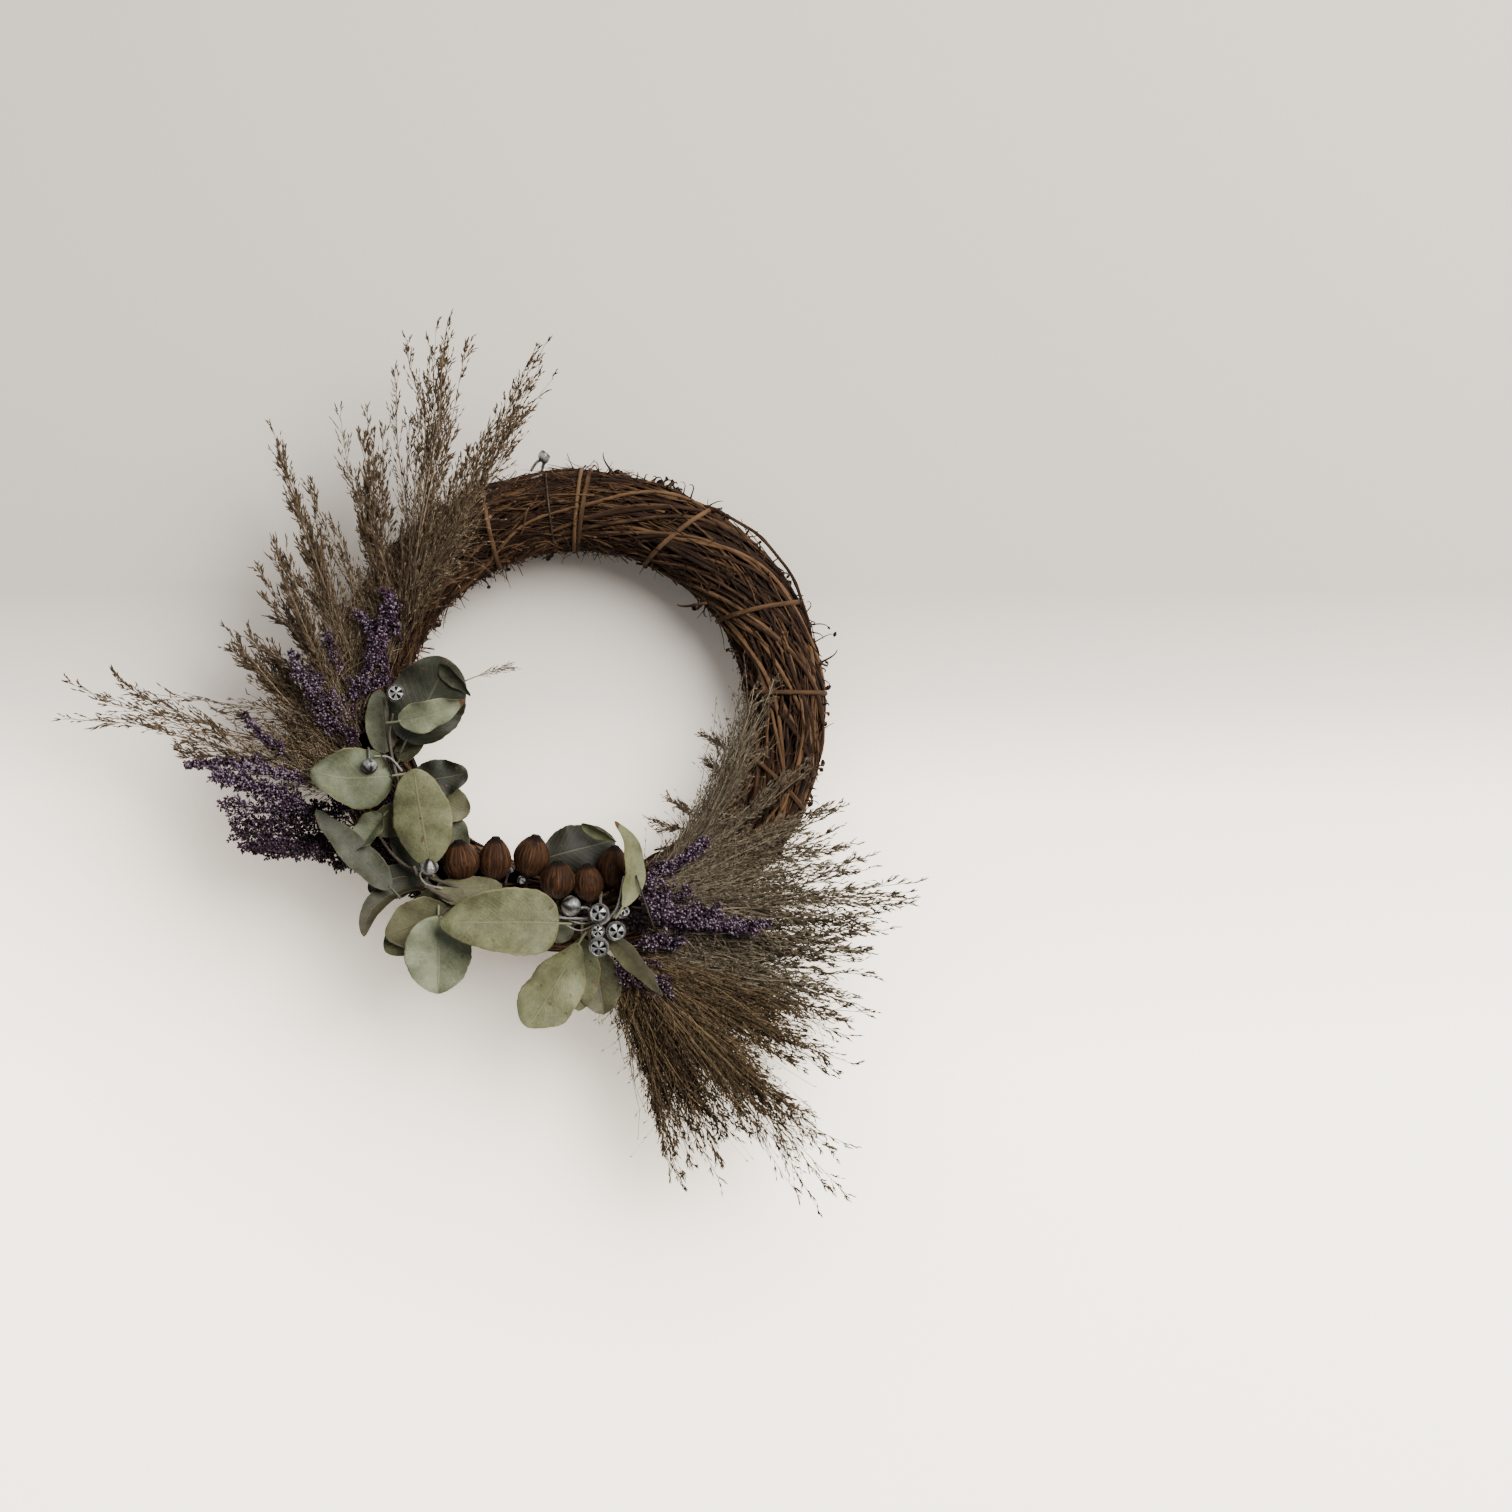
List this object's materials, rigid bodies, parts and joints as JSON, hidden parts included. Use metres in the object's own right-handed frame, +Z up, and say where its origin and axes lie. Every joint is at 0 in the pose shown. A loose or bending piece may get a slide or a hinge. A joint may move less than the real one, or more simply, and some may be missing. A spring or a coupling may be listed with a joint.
{
  "type": "harvest door wreath",
  "caption": "Hanging grapevine ring trimmed on its lower left with dried grass fans, purple heather, eucalyptus leaves, ribbed seed pods and frosted gumnuts, on a folding wire loop.",
  "frame": {"origin": "seat of the hook, on the inside of the hanging loop's arch, behind the top of the ring", "axes": "+Z up as it hangs, +Y towards the wall, so the wreath faces -Y, and +X to the right seen from the front"},
  "size_m": [0.5045, 0.0938, 0.5183],
  "materials": {
    "vine": "dry bark, matt",
    "grass": "dried grass, matt",
    "heather": "dried florets, matt",
    "leaf_green": "preserved leaf, low sheen",
    "leaf_sage": "preserved leaf, matt bloom",
    "pod": "ribbed husk, low sheen",
    "gumnut": "silver-frosted",
    "wire": "dull galvanised"
  },
  "bodies": {
    "wreath": {"binding_wire_left": "wire", "binding_wire_right": "wire", "grass_inner": "grass", "grass_left_1": "grass", "grass_left_2": "grass", "grass_left_3": "grass", "grass_left_4": "grass", "grass_left_5": "grass", "grass_left_6": "grass", "grass_left_7": "grass", "grass_right_1": "grass", "grass_right_2": "grass", "grass_right_3": "grass", "grass_right_4": "grass", "grass_right_5": "grass", "grass_right_6": "grass", "gumnut_left": "gumnut", "gumnut_lower": "gumnut", "gumnut_right": "gumnut", "gumnut_top": "gumnut", "gumnut_upper": "gumnut", "hanger_band": "wire", "heather_left_1": "heather", "heather_left_2": "heather", "heather_left_3": "heather", "heather_left_4": "heather", "heather_right_1": "heather", "heather_right_2": "heather", "heather_right_3": "heather", "leaf_bottom_gold": "leaf_sage", "leaf_inner_dark": "leaf_green", "leaf_inner_upright": "leaf_sage", "leaf_kidney": "leaf_sage", "leaf_large": "leaf_sage", "leaf_long": "leaf_sage", "leaf_low_left": "leaf_green", "leaf_low_round": "leaf_sage", "leaf_narrow_outer": "leaf_green", "leaf_upper_pale": "leaf_sage", "leaf_upper_round": "leaf_green", "seed_pod_1": "pod", "seed_pod_2": "pod", "seed_pod_3": "pod", "seed_pod_4": "pod", "seed_pod_5": "pod", "seed_pod_6": "pod", "vine_core": "vine", "vine_turn_1": "vine", "vine_turn_2": "vine", "vine_turn_3": "vine", "vine_turn_4": "vine", "vine_turn_5": "vine", "vine_turn_6": "vine", "vine_wrap_1": "vine", "vine_wrap_2": "vine", "vine_wrap_3": "vine", "vine_wrap_4": "vine", "vine_wrap_5": "vine", "vine_wrap_6": "vine"},
    "loop": {"hanging_loop": "wire"}
  },
  "joints": [
    {"name": "loop_hinge", "type": "hinge", "parent": "wreath", "child": "loop", "pos_m": [0, 0, -0.02], "axis": [-1, 0, 0], "range_deg": [-15, 170]}
  ]
}
